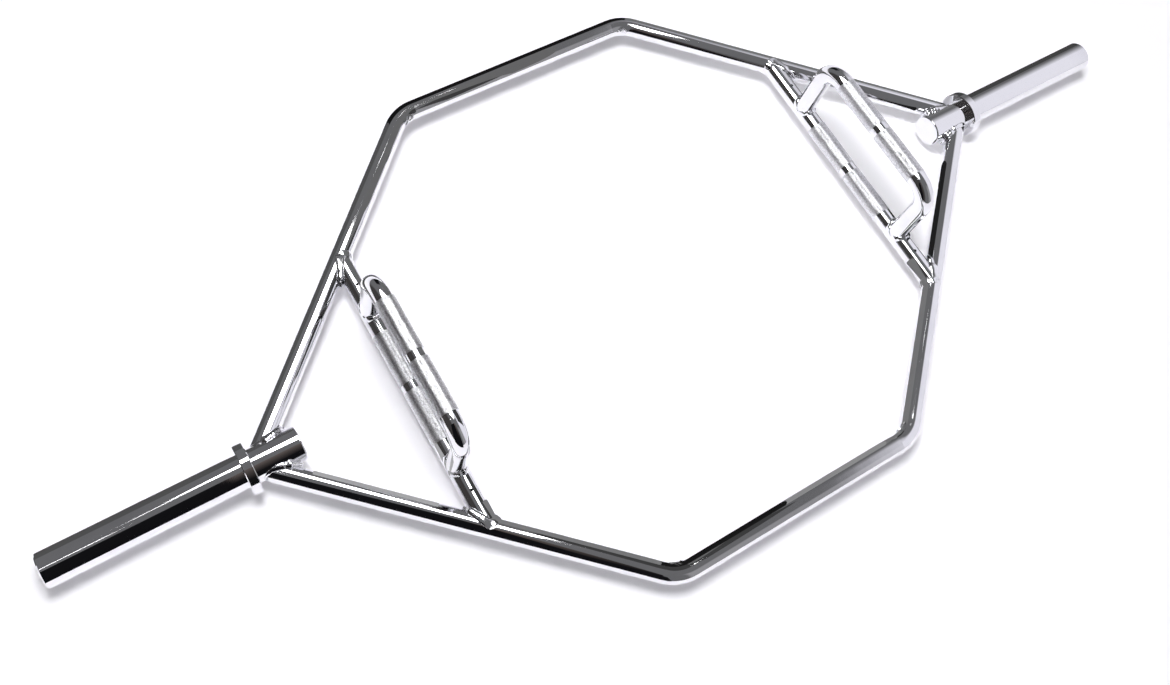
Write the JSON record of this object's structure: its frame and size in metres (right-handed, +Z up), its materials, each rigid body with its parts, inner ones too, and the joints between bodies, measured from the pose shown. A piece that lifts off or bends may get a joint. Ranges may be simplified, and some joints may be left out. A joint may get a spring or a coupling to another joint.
{
  "type": "hex trap bar",
  "caption": "Welded hexagonal lifting bar of chromed tube with a plate sleeve at each end, knurled side handles and raised handles to stand between.",
  "frame": {"origin": "on the floor under the middle of the bar; the bar lies on its two collars", "axes": "+X along the sleeves to the right end, +Y to the rear across the bar, +Z up"},
  "size_m": [1.86, 0.841, 0.1762],
  "materials": {
    "frame_chrome": "polished chrome plate on drawn steel tube",
    "sleeve_chrome": "polished chrome plate on turned steel",
    "grip_chrome": "polished chrome plate with diamond knurled grips",
    "weld_chrome": "chrome plate over rippled weld beads"
  },
  "bodies": {
    "root": {"front_frame_tube": "frame_chrome", "rear_frame_tube": "frame_chrome", "left_sleeve_tube": "sleeve_chrome", "left_sleeve_end_plug": "sleeve_chrome", "left_collar": "sleeve_chrome", "left_hub_cap": "sleeve_chrome", "left_handle_bar": "grip_chrome", "left_raised_handle": "grip_chrome", "right_sleeve_tube": "sleeve_chrome", "right_sleeve_end_plug": "sleeve_chrome", "right_collar": "sleeve_chrome", "right_hub_cap": "sleeve_chrome", "right_handle_bar": "grip_chrome", "right_raised_handle": "grip_chrome", "left_front_hub_weld": "weld_chrome", "left_front_handle_weld": "weld_chrome", "left_front_raised_weld": "weld_chrome", "left_front_corner_weld": "weld_chrome", "left_rear_hub_weld": "weld_chrome", "left_rear_handle_weld": "weld_chrome", "left_rear_raised_weld": "weld_chrome", "left_rear_corner_weld": "weld_chrome", "right_front_hub_weld": "weld_chrome", "right_front_handle_weld": "weld_chrome", "right_front_raised_weld": "weld_chrome", "right_front_corner_weld": "weld_chrome", "right_rear_hub_weld": "weld_chrome", "right_rear_handle_weld": "weld_chrome", "right_rear_raised_weld": "weld_chrome", "right_rear_corner_weld": "weld_chrome"}
  },
  "joints": []
}
